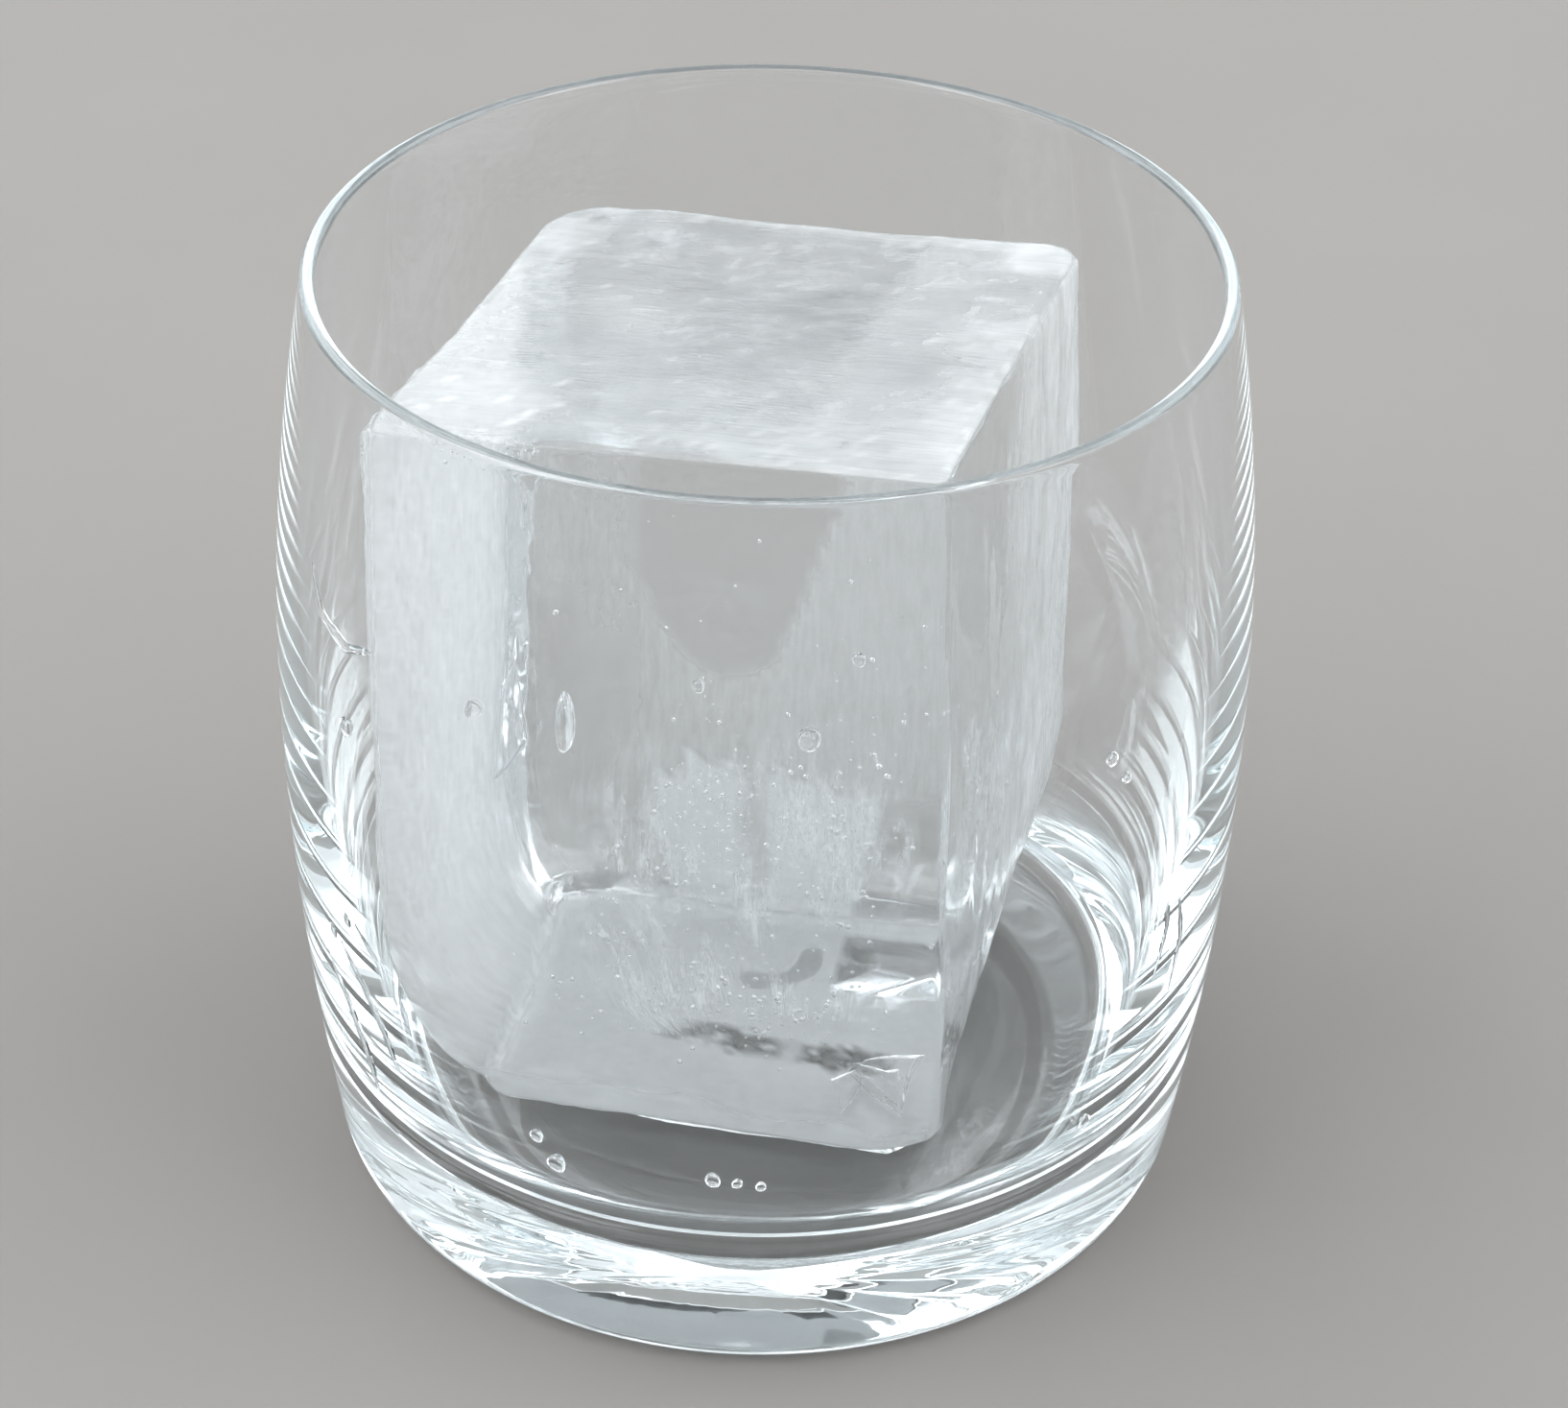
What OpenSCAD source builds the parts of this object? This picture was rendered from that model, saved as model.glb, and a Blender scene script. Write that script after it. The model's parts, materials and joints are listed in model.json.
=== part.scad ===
// Barrel whiskey tumbler holding one large block of clear ice and a little melt water.
// Millimetres, +Z up, origin on the table at the centre of the glass's foot.
// The front of the glass faces -Y.

/* [Glass] */
// Height from the table to the top of the lip
height = 89.2; // [80:0.1:100]
// Outer diameter of the mouth, just under the rounded lip
mouth_d = 78.3; // [72:0.1:84]
// Outer diameter at the belly, the widest level
belly_d = 87.3; // [85:0.1:94]
// Height of the belly above the table
belly_z = 44; // [38:0.5:50]
// Outer diameter that the lower wall would reach on the table without its rounded foot
foot_d = 81.1; // [77:0.1:84]
// Radius of the rounded outer edge of the foot
foot_round = 3; // [2:0.1:4]
// Diameter of the shallow hollow under the base
punt_d = 66; // [50:1:68]
// Depth of the shallow hollow under the base
punt_h = 0.6; // [0.3:0.1:1.5]

/* [Wall and floor] */
// Thickness of the wall at the lip
lip_t = 1.25; // [1.1:0.05:1.6]
// Thickness that the wall would reach at table level, before the floor takes over
heel_t = 5.5; // [4:0.1:6]
// How late the wall thickens on its way down: 1 is an even taper
heel_power = 2.5; // [2:0.1:4]
// Thickness of the base at its centre
floor_t = 8.5; // [7:0.1:10]
// Radius of the rounded corner between the floor and the wall, inside
bowl_r = 13; // [10:0.5:14]

/* [Ice block] */
// Width of the block's top across its front
ice_w = 48.5; // [40:0.5:49]
// Depth of the block from front to back, along its slanted side
ice_d = 45.2; // [36:0.2:46]
// Level of the block's top above the table
ice_top = 79; // [70:0.5:84]
// How much each side of the block stands out at its thick level, past its width at the top
ice_flare = 1.8; // [0:0.1:2]
// How far the front of the block's foot stands out past the front of its top
ice_lean = 6.5; // [0:0.1:8]
// Turn of the block about the vertical
ice_yaw = -7.6; // [-12:0.2:0]
// Lean of the block's side faces away from square, seen from above
ice_skew = 9; // [0:0.5:10]
// Radius of the melted edges
ice_round = 3.5; // [3:0.1:6]
// Farthest that a foot corner's rounding is centred from the axis of the glass
ice_foot_reach = 27.5; // [22:0.5:28]

/* [Melt water] */
// Thickness of the film between the floor and the block
film_t = 0.2; // [0.1:0.05:0.25]
// Gap between the floor and the block, filled by the film at rest
ice_gap = 0.3; // [0.3:0.05:0.5]

/* [Hidden] */

belly_r = belly_d / 2;
punt_r = punt_d / 2;
lip_r = lip_t / 2;
turn_fn = 180;
bead_fn = 48;

// Centre of the block's plan, a little behind the axis and to the left of it
ice_centre = [-2.7, 6.1];
// Level at which the block is thickest
ice_thick_z = 27;

// Beads on the wall: bearing from the front, positive to the right, then height and bead radius
WALL_BEADS = [[-26.6, 24, 0.8], [-24.2, 21.3, 1.1], [-4.6, 23, 0.9], [-1.7, 22.7, 0.6],
    [1.1, 22.4, 0.6], [44.7, 20.2, 1], [42.5, 60.7, 0.8], [45, 58, 0.6], [-54, 58, 1], [-61, 33, 0.9]];
// Beads on the block's front face: distance to the right of its middle, then height and bead radius
FRONT_BEADS = [[-8, 53.3, 1.4], [13.1, 53.9, 1.4], [-16, 53.5, 1.1], [3.5, 58, 0.8], [17, 62, 0.8]];
// How far a bead's centre sits behind the surface that carries it, as a share of its radius
bead_sink = 0.45;
// Clearance between a bead's flat back and the curved wall
bead_gap = 0.1;
// How far the film stops short of the floor's flat
film_inset = 0.3;

// Radius of the arc that drops by "drop" over the height "rise", starting upright
function arc_radius(rise, drop) = (rise * rise + drop * drop) / (2 * drop);
upper_arc = arc_radius(height - belly_z, belly_r - mouth_d / 2);
lower_arc = arc_radius(belly_z, belly_r - foot_d / 2);

// Outside and inside radius of the glass at the level z
function barrel_arc(z) = z > belly_z ? upper_arc : lower_arc;
function outer_r(z) = belly_r - barrel_arc(z) + sqrt(pow(barrel_arc(z), 2) - pow(z - belly_z, 2));
function wall_t(z) = lip_t + (heel_t - lip_t) * pow((height - z) / height, heel_power);
function inner_r(z) = outer_r(z) - wall_t(z);
// Slope of the inside of the wall from upright at the level z, in degrees: positive where it opens upwards
function wall_slope(z) = atan(5 * (inner_r(z + 0.1) - inner_r(z - 0.1)));

// Points of an arc from angle a0 to a1 in n steps
function arc(centre, r, a0, a1, n) =
    [for (i = [0:n]) let (a = a0 + (a1 - a0) * i / n) centre + r * [cos(a), sin(a)]];
// n levels strictly between z0 and z1
function levels(z0, z1, n) = [for (i = [1:n]) z0 + (z1 - z0) * i / (n + 1)];

// Centre of the bowl's rounded corner, and the level where the corner runs smoothly into the wall
bowl_z = floor_t + bowl_r;
join_slope = wall_slope(bowl_z - bowl_r * sin(wall_slope(bowl_z)));
join_z = bowl_z - bowl_r * sin(join_slope);
bowl_centre = [inner_r(join_z) - bowl_r * cos(join_slope), bowl_z];
foot_centre = [outer_r(foot_round) - foot_round, foot_round];
lip_centre = [outer_r(height - lip_r) - lip_r, height - lip_r];
punt_arc = arc_radius(punt_r, punt_h);

// Underside, from the centre of the hollow out and round the foot
FOOT_LINE = concat(
    [for (i = [0:5]) let (x = punt_r * i / 6) [x, punt_h - punt_arc + sqrt(pow(punt_arc, 2) - x * x)]],
    [[punt_r, 0]],
    arc(foot_centre, foot_round, -90, 0, 8));
OUTER_WALL = [for (z = levels(foot_round, height - lip_r, 22)) [outer_r(z), z]];
LIP = arc(lip_centre, lip_r, 0, 180, 8);
INNER_WALL = [for (z = levels(height - lip_r, join_z, 22)) [inner_r(z), z]];
BOWL = arc(bowl_centre, bowl_r, -join_slope, -90, 12);

// The whole glass: one solid of revolution, with no joint or seam in it
module tumbler() {
    color("lightcyan", 0.35)
        rotate_extrude($fn = turn_fn)
            polygon(concat(FOOT_LINE, OUTER_WALL, LIP, INNER_WALL, BOWL, [[0, floor_t]]));
}

// Corner number i of the block's slanted plan, standing out sideways by out and, if in front, leaning forward
function plan_corner(i, out, lean = 0) =
    let (u = CORNERS[i][0], v = CORNERS[i][1],
        x = u * (ice_w / 2 - ice_round + out), y = v * (ice_d / 2 - ice_round))
    ice_centre + turned([x + y * sin(ice_skew), y * cos(ice_skew) - (v < 0 ? lean : 0)]);
// A point of the block's own plan turned by its yaw
function turned(p) = [p.x * cos(ice_yaw) - p.y * sin(ice_yaw), p.x * sin(ice_yaw) + p.y * cos(ice_yaw)];
// A point drawn in so that it is no farther than reach from the axis: straight towards it, or sideways
function within(p, reach) = p * min(1, reach / norm(p));
function within_sideways(p, reach) = [sign(p.x) * min(abs(p.x), sqrt(reach * reach - p.y * p.y)), p.y];

// Corners of the plan, anticlockwise from the front left: side, side, and the angles that each one rounds
CORNERS = [[-1, -1, -180 - ice_skew, -90], [1, -1, -90, -ice_skew],
    [1, 1, -ice_skew, 90], [-1, 1, 90, 180 - ice_skew]];
// How far each corner stands out past the plain slanted plan, at the top and past the flare at the thick level
TOP_OUT = [1, 0, 0.9, 0.3];
THICK_OUT = [0, 0.6, 1.7, 0];
function top_corner(i) = plan_corner(i, TOP_OUT[i]);
function thick_corner(i) = plan_corner(i, ice_flare + THICK_OUT[i], thick_lean);
function foot_corner(i) =
    let (p = plan_corner(i, ice_flare + THICK_OUT[i], ice_lean))
    CORNERS[i][1] < 0 ? within_sideways(p, ice_foot_reach) : within(p, ice_foot_reach);

ice_foot = floor_t + ice_gap;
thick_lean = ice_lean * (ice_top - ice_thick_z) / (ice_top - ice_foot);
// Steps round an edge, and steps up the drawn-in foot
edge_n = 5;
foot_n = 6;
// Where the rounding of the top and bottom edges stops at the flat face, in degrees
edge_stop = 72;
edge_rise = ice_round * sin(edge_stop);
foot_bend_z = ice_foot + edge_rise;
top_bend_z = ice_top - edge_rise;

// One level of the block: its corners' rounding centres, their radius and the height
function level_ring(centres, r, z) =
    [for (i = [0:3]) for (j = [0:edge_n])
        let (a = ice_yaw + CORNERS[i][2] + (CORNERS[i][3] - CORNERS[i][2]) * j / edge_n)
        [centres[i].x + r * cos(a), centres[i].y + r * sin(a), z]];
// Rounding centres a share t of the way out from the foot to the thick level
function foot_centres(t) = [for (i = [0:3]) foot_corner(i) + (thick_corner(i) - foot_corner(i)) * t];
TOP_CENTRES = [for (i = [0:3]) top_corner(i)];

ICE_RINGS = concat(
    [for (i = [0:edge_n - 1]) let (a = edge_stop * (i / edge_n - 1))
        level_ring(foot_centres(0), ice_round * cos(a), foot_bend_z + ice_round * sin(a))],
    [for (i = [0:foot_n]) let (k = i / foot_n)
        level_ring(foot_centres(sin(90 * k)), ice_round,
            foot_bend_z + (ice_thick_z - foot_bend_z) * (1 - cos(90 * k)))],
    [for (i = [0:edge_n]) let (a = edge_stop * i / edge_n)
        level_ring(TOP_CENTRES, ice_round * cos(a), top_bend_z + ice_round * sin(a))]);
ring_n = 4 * (edge_n + 1);
level_n = len(ICE_RINGS);

// One block of ice with melted edges, drawn in at its foot where the bowl has shaped it
module ice_body() {
    polyhedron(
        points = [for (ring = ICE_RINGS) each ring],
        faces = concat(
            [[for (j = [0:ring_n - 1]) j]],
            [[for (j = [0:ring_n - 1]) level_n * ring_n - 1 - j]],
            [for (i = [0:level_n - 2]) for (j = [0:ring_n - 1])
                let (a = i * ring_n + j, b = i * ring_n + (j + 1) % ring_n)
                each [[a, a + ring_n, b], [b, a + ring_n, b + ring_n]]]));
}

module ice_block() {
    color("azure", 0.6) ice_body();
}

// Thin pool that stands on the flat of the floor under the block
module melt_film() {
    reach = bowl_centre.x - ice_round - film_inset;
    color("lightblue", 0.5)
        translate([0, 0, floor_t])
            linear_extrude(film_t)
                hull()
                    for (i = [0:3])
                        translate(within(foot_corner(i), reach)) circle(r = ice_round, $fn = 24);
}

// Bead of radius r: a low dome that stands out along +X from the plane X = 0
module bead(r) {
    rotate([0, 90, 0])
        rotate_extrude($fn = bead_fn)
            polygon(concat([[0, 0]], arc([0, -bead_sink * r], r, asin(bead_sink), 90, 6)));
}

// How far the glass's inner face has turned from upright towards the floor at the level z, and its radius there
function face_turn(z) = z > join_z ? wall_slope(z) : asin((bowl_z - z) / bowl_r);
function face_r(z) = z > join_z ? inner_r(z) : bowl_centre.x + bowl_r * cos(face_turn(z));

// Beads of water on the inside of the wall
module wall_drops() {
    color("lightblue", 0.5)
        for (b = WALL_BEADS)
            rotate([0, 0, b[0] - 90])
                translate([face_r(b[1]) - bead_gap, 0, b[1]])
                    rotate([0, 180 + face_turn(b[1]), 0]) bead(b[2]);
}

// Beads of melt water on the block's front face
module ice_drops() {
    face_y = (ice_d / 2 - ice_round) * cos(ice_skew) + ice_round;
    face_x = (ice_d / 2 - ice_round) * sin(ice_skew);
    slope = thick_lean / (top_bend_z - ice_thick_z);
    color("lightblue", 0.5)
        translate(ice_centre)
            rotate([0, 0, ice_yaw])
                translate([-face_x, -face_y, 0])
                    for (b = FRONT_BEADS)
                        translate([b[0], (b[1] - top_bend_z) * slope, b[1]])
                            rotate([-atan(slope), 0, 0]) rotate([0, 0, -90]) bead(b[2]);
}

tumbler();
ice_block();
melt_film();
wall_drops();
ice_drops();
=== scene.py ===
"""Looks of the whiskey tumbler: clear glass, one tall block of ice, melt water and beads."""

import json
import math

import bmesh
import bpy
import numpy as np
from mathutils import Matrix, Vector
from mathutils.bvhtree import BVHTree

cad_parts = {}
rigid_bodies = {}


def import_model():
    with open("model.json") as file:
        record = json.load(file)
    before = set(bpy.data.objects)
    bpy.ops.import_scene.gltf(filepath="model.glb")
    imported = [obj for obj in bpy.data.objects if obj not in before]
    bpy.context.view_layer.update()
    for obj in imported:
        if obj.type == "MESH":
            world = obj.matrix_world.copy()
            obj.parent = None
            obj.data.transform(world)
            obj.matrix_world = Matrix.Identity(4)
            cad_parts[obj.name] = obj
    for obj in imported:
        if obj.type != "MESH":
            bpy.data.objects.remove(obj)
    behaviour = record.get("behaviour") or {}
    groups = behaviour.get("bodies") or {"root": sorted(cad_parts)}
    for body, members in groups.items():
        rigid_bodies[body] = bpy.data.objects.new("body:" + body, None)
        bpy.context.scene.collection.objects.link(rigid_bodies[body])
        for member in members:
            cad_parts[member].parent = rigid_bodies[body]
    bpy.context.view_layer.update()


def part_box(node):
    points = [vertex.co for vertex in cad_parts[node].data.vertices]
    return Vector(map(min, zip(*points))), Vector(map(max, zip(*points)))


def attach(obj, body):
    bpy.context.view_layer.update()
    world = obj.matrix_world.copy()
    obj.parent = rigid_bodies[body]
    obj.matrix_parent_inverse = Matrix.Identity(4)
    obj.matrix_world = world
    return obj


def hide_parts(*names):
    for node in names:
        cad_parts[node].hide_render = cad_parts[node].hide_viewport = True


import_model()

MM = 0.001

# ---------------------------------------------------------------- the glass's own measures, in mm
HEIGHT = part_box("tumbler")[1].z / MM
BELLY_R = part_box("tumbler")[1].x / MM
MOUTH_R, FOOT_R = 39.15, 40.55
BELLY_Z = 44.0
FOOT_ROUND = 3.0
PUNT_R, PUNT_H = 33.0, 0.6
LIP_T, HEEL_T, HEEL_POWER = 1.25, 5.5, 2.5
FLOOR_T = 8.5
BOWL_R = 13.0

# ---------------------------------------------------------------- the block's measures, in mm
ICE_W, ICE_D, ICE_TOP = 48.5, 45.2, 79.0
ICE_FLARE = 1.8
ICE_LEAN = 6.5
ICE_YAW, ICE_SKEW = math.radians(-7.6), math.radians(9.0)
ICE_CENTRE = (-2.7, 6.1)
TOP_OUT = (1.0, 0.0, 0.9, 0.3)
THICK_OUT = (0.0, 0.6, 1.7, 0.0)
ICE_THICK_Z = 27.0
ICE_FOOT = 8.8
ICE_ROUND = 3.5
FOOT_REACH = 27.5
# Radii to which the block's edges have melted: the four uprights, then the top's four edges and the foot's
UPRIGHT_R = {(-1, -1): 3.2, (1, -1): 0.8, (1, 1): 3.4, (-1, 1): 5.0}
TOP_R = {"left": 2.4, "right": 1.0, "front": 0.6, "back": 1.8}
FOOT_EDGE_R = 3.0
# The front right corner is worn far more at its foot, and up to this level
FOOT_CORNER_R, WORN_Z = 8.0, 14.0
# How deep the melting goes: slow waves, ridges up the sides, pits, the hollow in the left face,
# then the worn edges, the chips of the top left edge, its scuffs and its lumps
SLOW, RIDGES, PITS, HOLLOW = 0.40, 0.30, 0.14, 1.3
WEAR, CHIPS, SCUFFS, LUMPS = 1.7, 1.5, 0.5, 0.75
# The frost lies this far under the ice's surface
FROST_DEPTH = 0.35
# Width of the air in a crack, and how far from the block's faces and foot bubbles stay
CRACK_GAP = 0.05
BUBBLE_X, BUBBLE_Y, BUBBLE_LOW, BUBBLE_LID = 22.5, 20.5, 11.0, 1.0

# ---------------------------------------------------------------- the water's measures, in mm
PUDDLE_T, PUDDLE_PAST = 0.48, 2.2
# How far water is sunk into what carries it
SUNK = 0.15

# ---------------------------------------------------------------- how light bends, and colours
GLASS_IOR, WATER_IOR, ICE_IOR = 1.52, 1.33, 1.31
# White frost, and a dark colour painted into the frost as shade where the light under the block doesn't reach
FROST = (0.98, 0.995, 0.995, 1)
PAINTED_SHADE_FROST = (0.12, 0.11, 0.10, 1)
FLOOR_TONES = (0.158, 0.152, 0.145, 1), (0.172, 0.165, 0.157, 1)

# ---------------------------------------------------------------- light and camera
# Soft panels: bearing and its half width, level and its half height, softness (degrees), brightness
PANELS = ((-38, 20, 30, 16, 6, 1.6), (95, 36, 38, 20, 12, 2.5), (-100, 36, 38, 20, 12, 3.0))
SKY_LEVELS, SKY_LIGHT, SKY_STRENGTH = (35, 70), (0.85, 1.6), 1.3
CAMERA_TILT, CAMERA_ROLL = math.radians(34.95), math.radians(1.22)
CAMERA_TARGET, CAMERA_DISTANCE = (1.887, 0, 43.6), 308.0
CAMERA_LENS, CAMERA_SENSOR = 77.26, 36
# Light has to cross the glass and the ice many times
CLEAR_BOUNCES, DIFFUSE_BOUNCES, OPEN_BOUNCES = 56, 8, 16


# ================================================================ small tools
# How many random values the noise picks from
TABLE = 256


def noise(points, cell, seed):
    """Smooth noise from -1 to 1 at points in mm, with features the size of cell (one number or three)."""
    rng = np.random.default_rng(seed)
    table = rng.uniform(-1, 1, TABLE)
    order = rng.permutation(TABLE)
    p = np.asarray(points, float) / np.asarray(cell, float) + 1000.0
    base = np.floor(p).astype(int)
    t = p - base
    t = t * t * t * (t * (t * 6 - 15) + 10)
    total = 0.0
    for dx in (0, 1):
        for dy in (0, 1):
            for dz in (0, 1):
                h = order[(base[:, 0] + dx) % TABLE]
                h = order[(h + base[:, 1] + dy) % TABLE]
                h = order[(h + base[:, 2] + dz) % TABLE]
                w = (t[:, 0] if dx else 1 - t[:, 0]) * (t[:, 1] if dy else 1 - t[:, 1])
                total = total + table[h] * w * (t[:, 2] if dz else 1 - t[:, 2])
    return total


def fractal(points, cell, seed, octaves=4, gain=0.5):
    """Layers of noise, each half the size of the last."""
    total, weight, share = 0.0, 0.0, 1.0
    cell = np.asarray(cell, float)
    for i in range(octaves):
        total = total + share * noise(points, cell / 2**i, seed + i)
        weight += share
        share *= gain
    return total / weight


def ramp(x, low, high):
    """0 below low, 1 above high and a smooth step between, either way round."""
    t = np.clip((np.asarray(x, float) - low) / (high - low), 0, 1)
    return t * t * (3 - 2 * t)


def mesh_object(name, verts_mm, faces, material, attributes=None):
    """A smooth-shaded object from vertices in mm, with any point attributes."""
    me = bpy.data.meshes.new(name)
    me.from_pydata((np.asarray(verts_mm) * MM).tolist(), [], [tuple(map(int, f)) for f in faces])
    me.validate()
    me.shade_smooth()
    for key, values in (attributes or {}).items():
        values = np.asarray(values, np.float32)
        kind = "FLOAT" if values.ndim == 1 else "FLOAT_VECTOR"
        layer = me.attributes.new(key, kind, "POINT")
        layer.data.foreach_set("value" if values.ndim == 1 else "vector", values.ravel())
    me.materials.append(material)
    obj = bpy.data.objects.new(name, me)
    bpy.context.scene.collection.objects.link(obj)
    return obj


class Graph:
    """Short ways to add nodes to a material's or the world's tree."""

    def __init__(self, owner):
        owner.use_nodes = True
        self.tree = owner.node_tree
        self.tree.nodes.clear()

    def node(self, kind, inputs=None, **settings):
        made = self.tree.nodes.new(kind)
        for key, value in settings.items():
            setattr(made, key, value)
        for key, value in (inputs or {}).items():
            self.put(made.inputs[key], value)
        return made

    def put(self, socket, value):
        if isinstance(value, bpy.types.NodeSocket):
            self.tree.links.new(value, socket)
        else:
            socket.default_value = value

    def math(self, operation, *values, clamp=False):
        made = self.node("ShaderNodeMath", operation=operation, use_clamp=clamp)
        for socket, value in zip(made.inputs, values):
            self.put(socket, value)
        return made.outputs[0]

    def remap(self, value, low, high, to_low=0.0, to_high=1.0):
        made = self.node("ShaderNodeMapRange", {0: value, 1: low, 2: high, 3: to_low, 4: to_high})
        made.interpolation_type = "SMOOTHSTEP"
        return made.outputs[0]

    def scaled(self, vector, size):
        """vector stretched so that a noise of scale 1 has features of size, in the vector's units."""
        share = tuple(1 / s for s in size)
        return self.node("ShaderNodeVectorMath", {0: vector, 1: share}, operation="MULTIPLY").outputs[0]

    def noise(self, vector, size, detail=3.0, roughness=0.5):
        place = self.scaled(vector, size)
        settings = {"Vector": place, "Scale": 1.0, "Detail": detail, "Roughness": roughness}
        return self.node("ShaderNodeTexNoise", settings).outputs[0]

    def attribute(self, name, output="Vector"):
        return self.node("ShaderNodeAttribute", attribute_name=name).outputs[output]

    def millimetres(self):
        place = self.node("ShaderNodeTexCoord").outputs["Object"]
        made = self.node("ShaderNodeVectorMath", {0: place, 1: (1 / MM,) * 3}, operation="MULTIPLY")
        return made.outputs[0]

    def bump(self, height, distance):
        settings = {"Height": height, "Distance": distance, "Strength": 1.0}
        return self.node("ShaderNodeBump", settings).outputs[0]

    def surface(self, shader, volume=None):
        out = self.node("ShaderNodeOutputMaterial")
        self.tree.links.new(shader, out.inputs["Surface"])
        if volume is not None:
            self.tree.links.new(volume, out.inputs["Volume"])


def clear_shader(graph, ior, roughness=0.0, colour=(1, 1, 1, 1), normal=None):
    made = graph.node(
        "ShaderNodeBsdfPrincipled",
        {"Base Color": colour, "Transmission Weight": 1.0, "IOR": ior, "Roughness": roughness},
    )
    if normal is not None:
        graph.put(made.inputs["Normal"], normal)
    return made.outputs[0]


def absorption(graph, colour, density):
    return graph.node("ShaderNodeVolumeAbsorption", {"Color": (*colour, 1), "Density": density}).outputs[0]


# ================================================================ materials
def glass_material():
    """Clear glass, cold in its thick base, with a breath of condensation where the haze attribute says."""
    mat = bpy.data.materials.new("clear_glass")
    g = Graph(mat)
    mist = g.noise(g.millimetres(), (1.6, 1.6, 0.9), detail=2.0)
    rough = g.math("MULTIPLY", g.attribute("haze", "Fac"), g.remap(mist, 0.4, 0.62, 0.0, 0.22))
    g.surface(clear_shader(g, GLASS_IOR, rough, (0.985, 0.995, 1, 1)), absorption(g, (0.72, 0.86, 0.9), 5.0))
    return mat


def water_material():
    """Melt water, with a faint ripple."""
    mat = bpy.data.materials.new("melt_water")
    g = Graph(mat)
    ripple = g.noise(g.millimetres(), (4, 4, 4), detail=1.0)
    g.surface(clear_shader(g, WATER_IOR, normal=g.bump(ripple, 0.00003)))
    return mat


def ice_material():
    """Ice: clear and smooth in front, scratched on top, frosted and ridged on its sides."""
    mat = bpy.data.materials.new("block_ice")
    g = Graph(mat)
    grain = g.noise(g.attribute("pattern"), (1, 1, 1), detail=3.0, roughness=0.6)
    rough = g.math("MULTIPLY", g.attribute("rough", "Fac"), g.remap(grain, 0.3, 0.7, 0.5, 1.4), clamp=True)
    normal = g.bump(g.math("MULTIPLY", grain, g.attribute("relief", "Fac")), 0.0002)
    shader = clear_shader(g, ICE_IOR, rough, (0.98, 0.99, 1, 1), normal)
    g.surface(shader, absorption(g, (0.8, 0.9, 0.95), 2.0))
    return mat


def frost_material():
    """Frost just under the faces: white where air was trapped, nothing where the ice is clear, and painted
    dark as shade in the underside's speckled band.
    """
    mat = bpy.data.materials.new("white_frost")
    g = Graph(mat)
    streak = g.noise(g.attribute("pattern"), (1, 1, 1), detail=4.0, roughness=0.65)
    swing = g.math("MULTIPLY", g.math("SUBTRACT", streak, 0.5), g.attribute("swing", "Fac"))
    # Painted shade: in the underside's band the frost's white is mixed towards a dark colour
    shade = g.attribute("shade", "Fac")
    tone = g.node("ShaderNodeMix", {0: shade, 6: FROST, 7: PAINTED_SHADE_FROST}, data_type="RGBA")
    frost_mix(g, g.math("ADD", g.attribute("cover", "Fac"), swing, clamp=True), tone.outputs[2])
    return mat


def air_material():
    """Air shut in the ice: the inverse of the ice's own bending of light."""
    mat = bpy.data.materials.new("trapped_air")
    g = Graph(mat)
    g.surface(clear_shader(g, 1 / ICE_IOR))
    return mat


def frost_mix(g, cover, white):
    """White that is lit from both sides, over as much of the surface as cover says."""
    lit = g.node("ShaderNodeBsdfDiffuse", {"Color": white}).outputs[0]
    through = g.node("ShaderNodeBsdfTranslucent", {"Color": white}).outputs[0]
    frost_shader = g.node("ShaderNodeMixShader", {0: 0.5, 1: lit, 2: through}).outputs[0]
    clear = g.node("ShaderNodeBsdfTransparent").outputs[0]
    g.surface(g.node("ShaderNodeMixShader", {0: cover, 1: clear, 2: frost_shader}).outputs[0])


def curtain_material():
    """Fine air in upright streaks."""
    mat = bpy.data.materials.new("air_curtain")
    g = Graph(mat)
    place = g.attribute("block")
    streak = g.noise(place, (1.4, 3.0, 8.0), detail=4.0, roughness=0.7)
    frost_mix(g, g.math("MULTIPLY", g.remap(streak, 0.42, 0.68), g.attribute("edge", "Fac")), FROST)
    return mat


def floor_material():
    """A plain pale matte floor."""
    mat = bpy.data.materials.new("pale_floor")
    g = Graph(mat)
    tone = g.noise(g.millimetres(), (60, 60, 60), detail=3.0)
    colour = g.node("ShaderNodeMix", {0: tone, 6: FLOOR_TONES[0], 7: FLOOR_TONES[1]}, data_type="RGBA")
    matte = {"Base Color": colour.outputs[2], "Roughness": 0.9, "Specular IOR Level": 0.1}
    g.surface(g.node("ShaderNodeBsdfPrincipled", matte).outputs[0])
    return mat


# ================================================================ the glass
def arc_radius(rise, drop):
    """Radius of the arc that falls by drop over the distance rise."""
    return (rise * rise + drop * drop) / (2 * drop)


UPPER_ARC = arc_radius(HEIGHT - BELLY_Z, BELLY_R - MOUTH_R)
LOWER_ARC = arc_radius(BELLY_Z, BELLY_R - FOOT_R)


def outer_r(z):
    """Radius of the barrel at the level z."""
    r = UPPER_ARC if z > BELLY_Z else LOWER_ARC
    return BELLY_R - r + math.sqrt(r * r - (z - BELLY_Z) ** 2)


def inner_r(z):
    """Radius of the wall's inside, which thickens towards the heel."""
    return outer_r(z) - LIP_T - (HEEL_T - LIP_T) * ((HEIGHT - z) / HEIGHT) ** HEEL_POWER


def wall_slope(z):
    """How far the wall's inside leans from upright at the level z."""
    return math.atan((inner_r(z + 0.1) - inner_r(z - 0.1)) / 0.2)


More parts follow.
